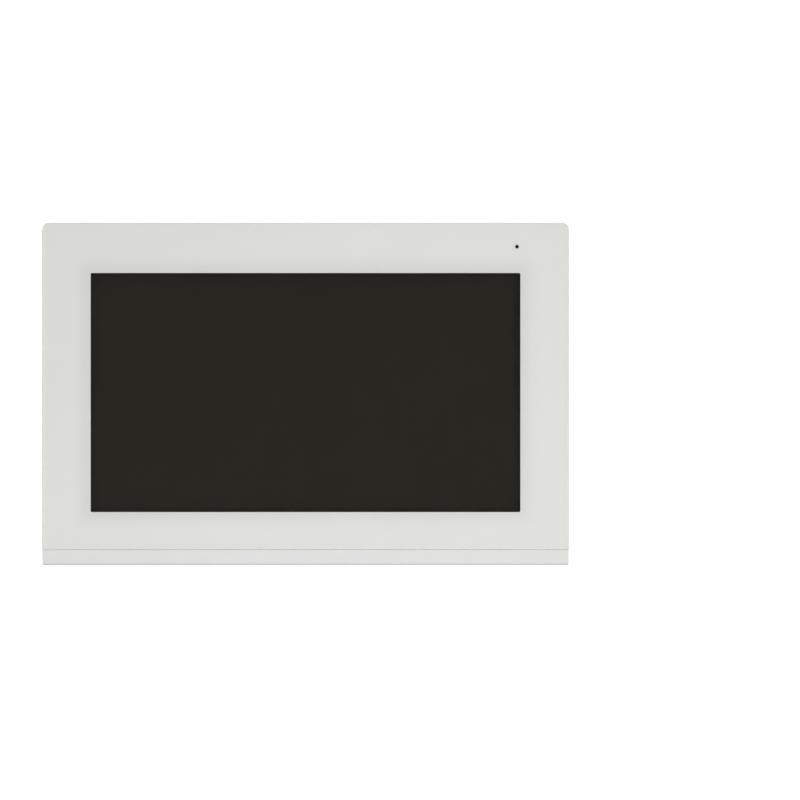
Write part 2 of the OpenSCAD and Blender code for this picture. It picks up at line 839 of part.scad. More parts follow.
// Cone with its dust cap, in one moulded film
module speaker_cone() {
    film = 0.3;
    root_y = yoke_back + 1.2;
    rim_y = shoulder_y;
    cap_r = 14;
    cap_angle = asin((coil_r - 0.2) / cap_r);
    cap_centre = [0, root_y - cap_r * cos(cap_angle)];
    color([0.12, 0.12, 0.12]) turned_y(speaker_x, speaker_z) polygon(concat(
        arc(cap_centre, cap_r, 90, 90 - cap_angle, 8),
        [
            [coil_r + 0.3, root_y], [cone_r, rim_y - film],
            [cone_r, rim_y], [coil_r + 0.4, root_y + film + 0.3]
        ],
        arc(cap_centre, cap_r + film, 90 - cap_angle, 90, 8)
    ));
}

// Rolled ring between the cone's rim and the basket
module speaker_surround() {
    film = 0.25;
    outer_r = 0.65;
    centre = [cone_r + outer_r, shoulder_y];
    land_angle = asin(film / outer_r);
    color([0.2, 0.2, 0.2]) turned_y(speaker_x, speaker_z) polygon(concat(
        [[cone_r, shoulder_y - film]],
        arc(centre, outer_r, 180, land_angle, 6),
        [[roll_r - 0.5, shoulder_y + film], [roll_r - 0.5, shoulder_y]],
        arc(centre, outer_r - film, 0, 180, 6),
        [[cone_r + film, shoulder_y - film]]
    ));
}

module speaker_gasket() {
    color([0.1, 0.1, 0.1]) slab(flange_back, cover_inside) translate([speaker_x, speaker_z]) difference() {
        circle(speaker_r - 0.2);
        circle(speaker_r - 2);
    }
}

function speaker_post(a) = [speaker_x + speaker_screw_r * cos(a), speaker_z + speaker_screw_r * sin(a)];
module speaker_screws() {
    color("lightgray") for (a = speaker_screw_angles) {
        p = speaker_post(a);
        pin_y(p.x, p.y, 2.7, flange_front - 1.4, flange_front);
        pin_y(p.x, p.y, 0.9, flange_front, cover_inside + 1.2);
    }
}

module speaker_leads() {
    color("crimson") for (side = [-1, 1]) wire([
        [speaker_x + roll_r + 0.3, flange_front - 0.9, speaker_z + side * wire_gap],
        [speaker_x + roll_r + 2, flange_front - 1.4, speaker_z + 0.5 + side * wire_gap],
        [-45, plug_y - 0.4, speaker_z + 5 + side * wire_gap],
        [-40, plug_y, speaker_plug.y - 1 + side * wire_gap],
        [speaker_plug.x - 2.8, plug_y, speaker_plug.y + side * wire_gap]
    ], wire_r, [0, 0, 1]);
}

// Outer or inner body of the rear cover, bevelled towards the wall
module cover_body(inset, back, front) {
    w = frame_half_w - inset;
    top = frame_top - inset;
    bottom = inset - top_z;
    straight = 0.8;
    bevel = cover_bevel;
    intersection() {
        slab(front, back) panel(
            -w, w, bottom, top,
            max(glass_r - frame_inset - inset, 0.3), max(frame_bottom_r - inset, 0.3)
        );
        translate([0, 0, bottom - 1]) linear_extrude(top - bottom + 2) polygon([
            [-w, front], [w, front], [w, parting + straight],
            [w - bevel, parting + straight + bevel], [bevel - w, parting + straight + bevel],
            [-w, parting + straight]
        ]);
        along_x(-w - 1, w + 1) polygon([
            [front, bottom], [front, top], [parting + straight, top],
            [parting + straight + bevel, top - bevel], [parting + straight + bevel, bottom + bevel],
            [parting + straight, bottom]
        ]);
    }
}

// Slots of the speaker's grille, cut to a circle
module grille() {
    grille_r = 13;
    slot = 1.5;
    pitch = 3.25;
    rows = 7;
    for (i = [0 : rows - 1]) {
        z = (i - (rows - 1) / 2) * pitch;
        half = sqrt(grille_r * grille_r - z * z);
        slab(cover_inside - 1, 0)
            translate([speaker_x, speaker_z + z]) rounded(2 * half, slot, slot / 2 - 0.01);
    }
}

module rear_vents() {
    vent_h = 6.4;
    vent_z = 50.6;
    for (i = [0 : rear_vent_count - 1])
        slab(cover_inside - 1, 0)
            translate([(i - (rear_vent_count - 1) / 2) * vent_pitch, vent_z])
                rounded(vent_w, vent_h, vent_w / 2 - 0.01);
}

// The opening inside the frame's walls, drawn in by an inset
module inside_frame(inset) {
    panel(inset - inner_half_w, inner_half_w - inset, inner_bottom + inset, inner_top - inset, 0.9, 0.9);
}

// Fine groove round the outside, where the cover meets the frame
module seam_groove() {
    groove_w = 0.3;
    groove_depth = 0.5;
    slab(parting - 1, parting + groove_w) difference() {
        panel(-half_w, half_w, -top_z - 1, top_z, 1, 1);
        panel(
            groove_depth - frame_half_w, frame_half_w - groove_depth,
            groove_depth - top_z, frame_top - groove_depth,
            glass_r - frame_inset - groove_depth, groove_depth
        );
    }
}

// White rear shell, with the pocket for the bracket and the opening over the wire headers
module rear_cover() {
    lip = 1.2;
    lip_reach = 1.4;
    recess_wall = 2;
    color("whitesmoke") difference() {
        union() {
            difference() {
                cover_body(0, cover_back, parting);
                cover_body(cover_wall, cover_inside, parting - 1);
                seam_groove();
            }
            // lip that seats inside the frame, and the thickened rim that it grows from
            difference() {
                union() {
                    slab(parting - lip, parting) inside_frame(gap);
                    slab(parting, parting + lip)
                        panel(1 - frame_half_w, frame_half_w - 1, 1 - top_z, frame_top - 1, 1.5, 1.5);
                }
                slab(parting - lip - 1, parting + lip + 1) inside_frame(lip_reach);
            }
            slab(recess_inside, cover_inside)
                panel(-recess_half_w - recess_wall, recess_half_w + recess_wall,
                    recess_bottom - recess_wall, recess_top + recess_wall, 3, 3);
            for (side = [-1, 1], up = [-1, 1])
                pin_y(side * boss_x, up * boss_z, boss_r + 0.9, parting, cover_inside);
            for (side = [-1, 1], up = [-1, 1])
                pin_y(side * boss_x, up * boss_z, boss_r, parting - 1.2, parting);
            for (a = speaker_screw_angles)
                pin_y(speaker_post(a).x, speaker_post(a).y, 1.8, flange_front, cover_inside);
        }
        slab(recess_floor, 0) panel(-recess_half_w, recess_half_w, recess_bottom, recess_top, 2, 2);
        slab(recess_inside - 1, 0) translate([0, header_z]) rounded(bay_w, bay_h, 1);
        for (side = [-1, 1], top = hook_tops)
            slab(recess_inside - 1, 0)
                translate([side * hook_x - hook_w / 2 - play, top - lift - plate_t - 0.5])
                    square([hook_w + 2 * play, lift + plate_t + 0.55]);
        for (side = [-1, 1], up = [-1, 1]) {
            pin_y(side * boss_x, up * boss_z, 3.1, recess_floor, 0);
            pin_y(side * boss_x, up * boss_z, 1.6, parting - 2, 0);
        }
        for (a = speaker_screw_angles)
            pin_y(speaker_post(a).x, speaker_post(a).y, 0.95, flange_front - 1, cover_inside + 1.3);
        grille();
        rear_vents();
    }
}

module housing_screws() {
    color("lightgray") for (side = [-1, 1], up = [-1, 1])
        pan_screw(side * boss_x, up * boss_z, recess_floor, 1.25, 2.7, 2, 9);
}

wall_bracket();
front_glass();
printed_border();
adhesive_tape();
touch_sensor();
touch_flex();
foam_gasket();
lcd_bezel();
lcd_cell();
diffuser_film();
light_guide();
led_strip();
backlight_tray();
lcd_flex();
front_frame();
mid_plate();
plate_screws();
main_board();
board_screws();
processor();
heatsink();
memory_chips();
power_inductors();
capacitors();
ribbon_connectors();
wire_headers();
header_pins();
lead_plugs();
card_socket();
slide_switch();
switch_knob();
reset_switch();
reset_plunger();
microphone();
mic_felt();
mic_boot();
mic_leads();
speaker_basket();
speaker_yoke();
speaker_magnet();
speaker_pole_plate();
voice_coil();
speaker_cone();
speaker_surround();
speaker_gasket();
speaker_screws();
speaker_leads();
rear_cover();
housing_screws();
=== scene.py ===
"""The looks of a wall-mounted video intercom monitor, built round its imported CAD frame."""

import math

import bmesh
import bpy
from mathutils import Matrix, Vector


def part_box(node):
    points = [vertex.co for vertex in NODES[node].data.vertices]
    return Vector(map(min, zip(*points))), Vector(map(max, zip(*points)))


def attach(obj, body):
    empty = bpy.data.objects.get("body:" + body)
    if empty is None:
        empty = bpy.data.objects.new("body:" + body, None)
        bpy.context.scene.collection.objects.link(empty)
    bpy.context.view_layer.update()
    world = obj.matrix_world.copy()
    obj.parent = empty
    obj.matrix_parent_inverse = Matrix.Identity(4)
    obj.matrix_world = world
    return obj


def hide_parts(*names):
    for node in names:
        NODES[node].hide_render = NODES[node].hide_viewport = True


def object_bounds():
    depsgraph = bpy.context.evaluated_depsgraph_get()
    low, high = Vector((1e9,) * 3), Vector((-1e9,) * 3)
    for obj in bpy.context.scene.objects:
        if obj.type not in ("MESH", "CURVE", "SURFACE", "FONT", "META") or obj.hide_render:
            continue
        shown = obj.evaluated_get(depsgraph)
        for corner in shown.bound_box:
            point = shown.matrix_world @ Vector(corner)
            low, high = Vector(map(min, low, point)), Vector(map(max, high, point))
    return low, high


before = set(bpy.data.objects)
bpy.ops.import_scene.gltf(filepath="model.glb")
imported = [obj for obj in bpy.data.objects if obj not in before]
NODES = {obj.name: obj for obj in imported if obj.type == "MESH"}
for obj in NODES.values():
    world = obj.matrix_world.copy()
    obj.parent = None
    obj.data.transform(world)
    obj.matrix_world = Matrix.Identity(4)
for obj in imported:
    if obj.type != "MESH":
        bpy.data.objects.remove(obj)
cad_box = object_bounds()

MM = 0.001

# ---------------------------------------------------------------- places read from the frame

GLASS_LOW, GLASS_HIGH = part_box("front_glass")
INK_LOW, INK_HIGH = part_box("printed_border")
# distances from the middle that lie past the window's edges and short of the border's outer edges
WINDOW_REACH_X = 80 * MM
WINDOW_REACH_Z = 45 * MM


def opening_of(name, reach_x, reach_z):
    """The hole in a flat node, found from its points within a reach of the middle."""
    points = [v.co for v in NODES[name].data.vertices]
    near = [p for p in points if abs(p.x) < reach_x and abs(p.z) < reach_z]
    low = Vector((min(p.x for p in near), 0, min(p.z for p in near)))
    high = Vector((max(p.x for p in near), 0, max(p.z for p in near)))
    return low, high


WINDOW_LOW, WINDOW_HIGH = opening_of("printed_border", WINDOW_REACH_X, WINDOW_REACH_Z)


# ---------------------------------------------------------------- materials


class Look:
    """One procedural material, laid out in the model's own coordinates."""

    def __init__(self, name, colour, roughness, metallic=0.0):
        self.material = bpy.data.materials.new(name)
        self.material.use_nodes = True
        self.tree = self.material.node_tree
        self.shader = self.tree.nodes["Principled BSDF"]
        self.place = self.add("ShaderNodeTexCoord").outputs["Object"]
        self.colour = (*colour, 1)
        self.roughness = roughness
        self.set("Base Color", self.colour)
        self.set("Roughness", roughness)
        self.set("Metallic", metallic)

    def add(self, kind, inputs=None, **settings):
        made = self.tree.nodes.new(kind)
        for key, value in settings.items():
            setattr(made, key, value)
        for key, value in (inputs or {}).items():
            if isinstance(value, bpy.types.NodeSocket):
                self.tree.links.new(value, made.inputs[key])
            else:
                made.inputs[key].default_value = value
        return made

    def set(self, key, value):
        if isinstance(value, bpy.types.NodeSocket):
            self.tree.links.new(value, self.shader.inputs[key])
        else:
            self.shader.inputs[key].default_value = value
        return self

    def maths(self, operation, *values):
        return self.add("ShaderNodeMath", dict(enumerate(values)), operation=operation).outputs[0]

    def axes(self):
        parts = self.add("ShaderNodeSeparateXYZ", {"Vector": self.place})
        return parts.outputs["X"], parts.outputs["Y"], parts.outputs["Z"]

    def stretched(self, stretch):
        return self.add(
            "ShaderNodeMapping", {"Vector": self.place, "Scale": stretch}, vector_type="POINT"
        ).outputs[0]

    def noise(self, size, detail=2.0, stretch=None):
        """Cloudy noise whose lumps are about size across, in metres."""
        place = self.stretched(stretch) if stretch else self.place
        made = self.add(
            "ShaderNodeTexNoise", {"Vector": place, "Scale": 1 / size, "Detail": detail}
        )
        return made.outputs["Fac"]

    def cells(self, size, feature="F1", output="Distance"):
        made = self.add("ShaderNodeTexVoronoi", {"Vector": self.place, "Scale": 1 / size}, feature=feature)
        return made.outputs[output]

    def between(self, factor, low, high, start=0.3, end=0.7, smooth=False):
        """A number from low to high as factor goes from start to end."""
        made = self.add(
            "ShaderNodeMapRange",
            {"Value": factor, "From Min": start, "From Max": end, "To Min": low, "To Max": high},
            interpolation_type="SMOOTHSTEP" if smooth else "LINEAR",
        )
        return made.outputs["Result"]

    def mix(self, factor, low, high):
        """A colour from low to high by a factor from 0 to 1."""
        made = self.add("ShaderNodeMix", {"Factor": factor}, data_type="RGBA")
        for key, value in (("A_Color", low), ("B_Color", high)):
            socket = next(s for s in made.inputs if s.identifier == key)
            if isinstance(value, bpy.types.NodeSocket):
                self.tree.links.new(value, socket)
            else:
                socket.default_value = value
        return next(s for s in made.outputs if s.identifier == "Result_Color")

    def shade(self, by):
        """The base colour made lighter or darker."""
        return (*(min(c * by, 1.0) for c in self.colour[:3]), 1)

    def mottle(self, size, by):
        """Slight cloudiness in the base colour."""
        blend = self.between(self.noise(size, 3.0), 0, 1)
        return self.set("Base Color", self.mix(blend, self.shade(1 - by), self.shade(1 + by)))

    def uneven(self, size, by, stretch=None):
        """Slight unevenness in the gloss."""
        factor = self.noise(size, 3.0, stretch)
        return self.set("Roughness", self.between(factor, self.roughness - by, self.roughness + by))

    def bumpy(self, height, depth, strength=1.0):
        """Bump from a height of 0 to 1, depth metres deep."""
        made = self.add("ShaderNodeBump", {"Height": height, "Distance": depth, "Strength": strength})
        return self.set("Normal", made.outputs["Normal"])


def moulded(name, colour, roughness, grain, depth):
    """Moulded plastic with a spark-eroded texture."""
    look = Look(name, colour, roughness)
    look.mottle(9 * MM, 0.012).uneven(0.6 * MM, 0.05)
    return look.bumpy(look.noise(grain, 2.0), depth)


def plated(name, colour, roughness, grain=(1, 1, 1)):
    """Zinc or tin plated steel sheet, with rolling marks and a faint spangle."""
    look = Look(name, colour, roughness, 1.0)
    spangle = look.cells(3.2 * MM, output="Color")
    tone = look.add("ShaderNodeSeparateColor", {"Color": spangle}).outputs[0]
    cloud = look.noise(14 * MM, 3.0)
    both = look.maths("ADD", look.maths("MULTIPLY", tone, 0.35), look.maths("MULTIPLY", cloud, 0.65))
    look.set("Base Color", look.mix(look.between(both, 0, 1), look.shade(0.88), look.shade(1.08)))
    look.uneven(1.2 * MM, 0.07, grain)
    return look.bumpy(look.noise(0.35 * MM, 2.0, grain), 0.002 * MM)


def polished(name, colour, roughness):
    """Turned, drawn or nickel plated metal."""
    look = Look(name, colour, roughness, 1.0)
    look.mottle(4 * MM, 0.03).uneven(0.8 * MM, 0.04)
    return look.bumpy(look.noise(0.2 * MM), 0.001 * MM)


def rubbery(name, colour, pore):
    """Black rubber, foam or felt."""
    look = Look(name, colour, 0.8)
    look.mottle(2 * MM, 0.15)
    look.set("Specular IOR Level", 0.25)
    return look.bumpy(look.cells(pore), 0.05 * MM, 0.6)


def film(name, colour, roughness, roughen):
    """Thin plastic or paper film, its gloss uneven by roughen."""
    look = Look(name, colour, roughness)
    look.mottle(12 * MM, 0.02).uneven(3 * MM, roughen)
    return look.bumpy(look.noise(0.5 * MM), 0.001 * MM)


def wire_skin(name, colour):
    """The soft plastic skin of a wire."""
    look = Look(name, colour, 0.42)
    look.mottle(3 * MM, 0.06).uneven(0.5 * MM, 0.05)
    return look.bumpy(look.noise(0.25 * MM), 0.004 * MM)


def ribbon_look():
    """Amber film with copper tracks showing through."""
    look = Look("ribbon_film", (0.55, 0.27, 0.05), 0.32)
    x = look.axes()[0]
    track = look.maths("PINGPONG", x, 0.35 * MM)
    blend = look.between(track, 0, 1, 0.14 * MM, 0.2 * MM)
    look.set("Base Color", look.mix(blend, (0.62, 0.33, 0.07, 1), (0.4, 0.13, 0.02, 1)))
    look.uneven(1 * MM, 0.04)
    return look.bumpy(blend, 0.01 * MM)


def board_look():
    """Green solder mask over copper: tracks, pours and plated through holes."""
    look = Look("solder_mask", (0.012, 0.13, 0.045), 0.34)
    x, _, z = look.axes()
    bend = look.noise(9 * MM, 1.0)
    across = look.maths("ADD", x, look.maths("MULTIPLY", bend, 2.4 * MM))
    along = look.maths("ADD", z, look.maths("MULTIPLY", bend, 1.8 * MM))
    lines_x = look.between(look.maths("PINGPONG", across, 0.3 * MM), 0, 1, 0.13 * MM, 0.17 * MM)
    lines_z = look.between(look.maths("PINGPONG", along, 0.3 * MM), 0, 1, 0.13 * MM, 0.17 * MM)
    which = look.between(look.cells(7 * MM, output="Distance"), 0, 1, 0.42, 0.44)
    lines = look.add("ShaderNodeMix", {"Factor": which, "A": lines_x, "B": lines_z}).outputs["Result"]
    routed = look.between(look.noise(11 * MM, 1.0), 0, 1, 0.46, 0.5)
    copper = look.maths("MULTIPLY", lines, routed)
    mask = look.mix(copper, (0.010, 0.105, 0.038, 1), (0.018, 0.19, 0.07, 1))
    hole = look.between(look.cells(2.6 * MM), 1, 0, 0.05, 0.075)
    look.set("Base Color", look.mix(hole, mask, (0.45, 0.36, 0.12, 1)))
    look.uneven(1.5 * MM, 0.05)
    return look.bumpy(copper, 0.02 * MM)


def coil_look():
    """Enamelled copper wound in fine turns."""
    look = Look("coil_wire", (0.5, 0.19, 0.06), 0.3, 0.9)
    y = look.axes()[1]
    turn = look.maths("PINGPONG", y, 0.06 * MM)
    look.mottle(2 * MM, 0.08)
    return look.bumpy(look.between(turn, 0, 1, 0, 0.06 * MM), 0.04 * MM)


def chip_look():
    """The black moulded resin of a chip."""
    look = Look("chip_epoxy", (0.022, 0.022, 0.024), 0.55)
    look.mottle(3 * MM, 0.12).uneven(0.5 * MM, 0.08)
    return look.bumpy(look.noise(0.12 * MM), 0.006 * MM)


def window_distance(look):
    """How far a place lies outside the window's edges, in metres, less than 0 inside."""
    x, _, z = look.axes()
    centre = (WINDOW_LOW + WINDOW_HIGH) / 2
    half = (WINDOW_HIGH - WINDOW_LOW) / 2
    from_x = look.maths("ABSOLUTE", look.maths("SUBTRACT", x, centre.x))
    from_z = look.maths("ABSOLUTE", look.maths("SUBTRACT", z, centre.z))
    away_x = look.maths("SUBTRACT", from_x, half.x)
    away_z = look.maths("SUBTRACT", from_z, half.z)
    return look.maths("MAXIMUM", away_x, away_z)


# the darker halo round the window: where it is full and where it ends, from the window's edge
HALO_FULL = 0.3 * MM
HALO_END = 6.5 * MM
# painted light along the ink's rim: it stands in for light let in by the glass's edge, and lifts the shade
# that the glass's edge and the chin cast there;
# top and left are full to one place and end at another, right and foot are full only at the rim itself
PAINTED_RIM_LIGHT_FULL = 0.9 * MM
PAINTED_RIM_LIGHT_END = 1.6 * MM
PAINTED_RIGHT_LIGHT_END = 1.2 * MM
PAINTED_FOOT_LIGHT_END = 0.8 * MM
# the band of painted light on the display, inside the window's edge, against the shade of the recess
# behind the ink
PAINTED_DISPLAY_LIGHT = 1.6 * MM


def ink_look():
    """Warm white ink: darker towards the window, with painted light in narrow bands along its rim."""
    look = Look("border_ink", (0.744, 0.742, 0.716), 0.5)
    look.set("Specular IOR Level", 0.0)
    near = look.between(window_distance(look), 1, 0, HALO_FULL, HALO_END, smooth=True)
    cloud = look.between(look.noise(40 * MM, 1.0), 0.8, 1.0)
    body = look.mix(look.maths("MULTIPLY", near, cloud), look.shade(1.0), look.shade(0.915))
    x, _, z = look.axes()
    # painted light: lighter bands at the top, left, right and foot of the rim, against the shade of the
    # glass's edge and the chin
    top = look.between(z, 0, 1, INK_HIGH.z - PAINTED_RIM_LIGHT_END, INK_HIGH.z - PAINTED_RIM_LIGHT_FULL)
    painted_left_light = look.between(x, 1, 0, INK_LOW.x + PAINTED_RIM_LIGHT_FULL, INK_LOW.x + PAINTED_RIM_LIGHT_END)
    painted_right_light = look.between(x, 0, 1, INK_HIGH.x - PAINTED_RIGHT_LIGHT_END, INK_HIGH.x)
    foot = look.between(z, 1, 0, INK_LOW.z, INK_LOW.z + PAINTED_FOOT_LIGHT_END)
    tone = look.mix(look.maths("MAXIMUM", top, painted_left_light), body, look.shade(1.022))
    tone = look.mix(painted_right_light, tone, look.shade(1.1))
    return look.set("Base Color", look.mix(foot, tone, look.shade(1.3)))


def screen_look():
    """The unlit display, with painted light along the window's edge, which lies in the ink's shade."""
    look = Look("display_cell", (0.0202, 0.0188, 0.0138), 0.36)
    look.set("Specular IOR Level", 0.2)
    # painted light: the display grows lighter towards the window's edge, against the ink's shade
    edge = look.between(window_distance(look), 0, 1, -PAINTED_DISPLAY_LIGHT, 0)
    look.set("Base Color", look.mix(edge, look.shade(1.0), look.shade(1.2)))
    return look.uneven(30 * MM, 0.03)


def clear_look(name, shine, tint):
    """Clear glass that doesn't bend light: see-through, with a mirror coat that grows at a slant."""
    look = Look(name, tint, 0.02)
    nodes, links = look.tree.nodes, look.tree.links
    facing = look.add("ShaderNodeLayerWeight", {"Blend": 0.5}).outputs["Facing"]
    slant = look.maths("POWER", facing, 5.0)
    mirror = look.maths("ADD", look.maths("MULTIPLY", slant, (1 - shine) * 0.9), shine)
    smudge = look.between(look.noise(60 * MM, 3.0), 0.015, 0.035, 0.1, 0.9)
    gloss = look.add("ShaderNodeBsdfAnisotropic", {"Color": (1, 1, 1, 1), "Roughness": smudge})
    through = look.add("ShaderNodeBsdfTransparent", {"Color": (*tint, 1)})
    both = look.add("ShaderNodeMixShader")
    links.new(mirror, both.inputs[0])
    links.new(through.outputs[0], both.inputs[1])
    links.new(gloss.outputs[0], both.inputs[2])
    links.new(both.outputs[0], nodes["Material Output"].inputs["Surface"])
    nodes.remove(look.shader)
    return look


def glass_edge_look():
    """The ground rim of the glass: hardly there face on, milky and green at a slant."""
    look = Look("glass_edge", (0.78, 0.82, 0.795), 0.32)
    look.uneven(0.4 * MM, 0.08)
    slant = look.add("ShaderNodeLayerWeight", {"Blend": 0.5}).outputs["Facing"]
    solid = look.between(look.maths("POWER", slant, 2.0), 0.08, 0.6, 0, 1)
    through = look.add("ShaderNodeBsdfTransparent", {"Color": (0.93, 0.955, 0.94, 1)})
    both = look.add("ShaderNodeMixShader")
    look.tree.links.new(solid, both.inputs[0])
    look.tree.links.new(through.outputs[0], both.inputs[1])
    look.tree.links.new(look.shader.outputs[0], both.inputs[2])
    look.tree.links.new(both.outputs[0], look.tree.nodes["Material Output"].inputs["Surface"])
    return look


def guide_look():
    """Clear acrylic with the printed dots that let the light out."""
    look = Look("light_guide_acrylic", (0.82, 0.86, 0.88), 0.12)
    dots = look.between(look.cells(1.1 * MM), 1, 0, 0.12, 0.2)
    look.set("Base Color", look.mix(dots, look.shade(0.95), (0.95, 0.95, 0.95, 1)))
    return look.bumpy(dots, 0.01 * MM)


LOOKS = {
    "shell": moulded("white_abs", (0.698, 0.697, 0.688), 0.46, 0.28 * MM, 0.006 * MM),
    "nylon": moulded("ivory_nylon", (0.74, 0.71, 0.6), 0.42, 0.3 * MM, 0.004 * MM),
    "black_plastic": moulded("black_plastic", (0.02, 0.02, 0.021), 0.45, 0.25 * MM, 0.006 * MM),
    "cream_plastic": moulded("cream_plastic", (0.62, 0.58, 0.46), 0.4, 0.25 * MM, 0.004 * MM),
    "zinc": plated("zinc_plate", (0.60, 0.62, 0.64), 0.36, (1, 1, 0.12)),
    "tin_sheet": plated("tinned_sheet", (0.62, 0.62, 0.60), 0.36, (0.12, 1, 1)),
    "screw": polished("screw_steel", (0.56, 0.56, 0.57), 0.33),
    "nickel": polished("nickel", (0.58, 0.56, 0.52), 0.2),
    "pin": polished("tinned_pin", (0.72, 0.68, 0.55), 0.22),
    "can": polished("aluminium_can", (0.72, 0.73, 0.74), 0.22),
    "anodised": moulded("black_anodised", (0.03, 0.03, 0.034), 0.4, 0.2 * MM, 0.004 * MM),
    "basket": moulded("black_paint", (0.025, 0.025, 0.026), 0.35, 0.6 * MM, 0.004 * MM),
    "ferrite": moulded("ferrite", (0.07, 0.07, 0.075), 0.6, 0.2 * MM, 0.01 * MM),
    "rubber": rubbery("black_rubber", (0.018, 0.018, 0.018), 0.3 * MM),
    "felt": rubbery("black_felt", (0.012, 0.012, 0.012), 0.12 * MM),
    "foam": rubbery("black_foam", (0.02, 0.02, 0.02), 0.55 * MM),
    "cone": film("cone_film", (0.03, 0.03, 0.032), 0.38, 0.05),
    "tape": film("white_tape", (0.72, 0.72, 0.7), 0.5, 0.05),
    "diffuser": film("diffuser", (0.85, 0.85, 0.85), 0.6, 0.05),
    "red_wire": wire_skin("red_wire", (0.42, 0.02, 0.018)),
    "ribbon": ribbon_look(),
    "board": board_look(),
    "coil": coil_look(),
    "chip": chip_look(),
    "ink": ink_look(),
    "screen": screen_look(),
    "glass": clear_look("glass_face", 0.04, (0.985, 0.99, 0.985)),
    "glass_back": clear_look("glass_rear", 0.0, (1.0, 1.0, 1.0)),
    "sensor": clear_look("touch_glass", 0.0, (0.985, 0.985, 0.98)),
    "glass_edge": glass_edge_look(),
    "guide": guide_look(),
    "led": moulded("diode_strip", (0.75, 0.70, 0.42), 0.4, 0.3 * MM, 0.003 * MM),
}

# node: its look, and how far its edges are rounded, in millimetres
FINISH = {
    "wall_bracket": ("zinc", 0.18),
    "printed_border": ("ink", 0),
    "adhesive_tape": ("tape", 0),
    "touch_sensor": ("sensor", 0),
    "touch_flex": ("ribbon", 0),
    "foam_gasket": ("foam", 0),
    "lcd_bezel": ("tin_sheet", 0),
    "lcd_cell": ("screen", 0),
    "diffuser_film": ("diffuser", 0),
    "light_guide": ("guide", 0),
    "led_strip": ("led", 0),
    "backlight_tray": ("tin_sheet", 0),
    "lcd_flex": ("ribbon", 0),
    "front_frame": ("shell", 0.22),
    "mid_plate": ("zinc", 0.1),
    "plate_screws": ("screw", 0.12),
    "main_board": ("board", 0),
    "board_screws": ("screw", 0.12),
    "processor": ("chip", 0.1),
    "heatsink": ("anodised", 0.1),
    "memory_chips": ("chip", 0.1),
    "power_inductors": ("ferrite", 0.3),
    "capacitors": ("can", 0.2),
    "ribbon_connectors": ("nylon", 0.1),
    "wire_headers": ("nylon", 0.12),
    "header_pins": ("pin", 0.12),
    "lead_plugs": ("nylon", 0.15),
    "card_socket": ("tin_sheet", 0.08),
    "slide_switch": ("tin_sheet", 0.12),
    "switch_knob": ("black_plastic", 0.2),
    "reset_switch": ("black_plastic", 0.12),
    "reset_plunger": ("cream_plastic", 0.12),
    "microphone": ("can", 0.15),
    "mic_felt": ("felt", 0.1),
    "mic_boot": ("rubber", 0.15),
    "mic_leads": ("red_wire", 0),
    "speaker_basket": ("basket", 0.08),
    "speaker_yoke": ("zinc", 0.12),
    "speaker_magnet": ("nickel", 0.12),
    "speaker_pole_plate": ("zinc", 0.1),
    "voice_coil": ("coil", 0),
    "speaker_cone": ("cone", 0),
    "speaker_surround": ("rubber", 0),
    "speaker_gasket": ("foam", 0.05),
    "speaker_screws": ("screw", 0.1),
    "speaker_leads": ("red_wire", 0),
    "rear_cover": ("shell", 0.25),
    "housing_screws": ("screw", 0.15),
}

# points closer than WELD are joined, faces within FLAT_ANGLE of each other become one, and
# edges sharper than CREASE are rounded
WELD = 0.0005 * MM
FLAT_ANGLE = math.radians(0.3)
CREASE = math.radians(31)
ROUND_STEPS = 3


def finish_edges(piece, radius):
    """Joins a CAD node's doubled points and rounds its edges by radius millimetres, as modifiers."""
    weld = piece.modifiers.new("weld", "WELD")
    weld.merge_threshold = WELD
    flat = piece.modifiers.new("flat", "DECIMATE")
    flat.decimate_type = "DISSOLVE"
    flat.angle_limit = FLAT_ANGLE
    round_off = piece.modifiers.new("round", "BEVEL")
    round_off.width = radius * MM
    round_off.segments = ROUND_STEPS
    round_off.limit_method = "ANGLE"
    round_off.angle_limit = CREASE
    round_off.harden_normals = True
    round_off.use_clamp_overlap = True


def dress(name, look, radius):
    """Gives a CAD node its material and, where radius isn't 0, rounded edges."""
    piece = NODES[name]
    piece.data.materials.clear()
    piece.data.materials.append(LOOKS[look].material)
    if radius:
        finish_edges(piece, radius)


for node_name, (look_name, edge) in FINISH.items():
    dress(node_name, look_name, edge)


# ---------------------------------------------------------------- front glass

GLASS_R_TOP = 2.6 * MM
GLASS_R_BOTTOM = 0.5 * MM
LEAST_R = 0.05 * MM
# how far the glass's own edges and the hole's are rounded, in front and behind
EDGE_FRONT_R = 0.4 * MM
EDGE_BACK_R = 0.12 * MM
HOLE_FRONT_R = 0.12 * MM
HOLE_BACK_R = 0.1 * MM
# the share of the edge's rounding that the foot gets
FOOT_GRIND = 0.35
ARC_STEPS = 10
EDGE_STEPS = 5
HOLE_EDGE_STEPS = 2
HOLE_STEPS = 32
# only the hole's own points lie this near to its axis
HOLE_REACH = 2 * MM
# the gap that keeps the glass's back off the ink
OFF_INK = 0.015 * MM


def corner(cx, cz, r, start):
    """A quarter turn of points about a corner's centre, starting at an angle in degrees."""
    turns = [math.radians(start + 90 * i / ARC_STEPS) for i in range(ARC_STEPS + 1)]
    return [(cx + r * math.cos(a), cz + r * math.sin(a)) for a in turns]


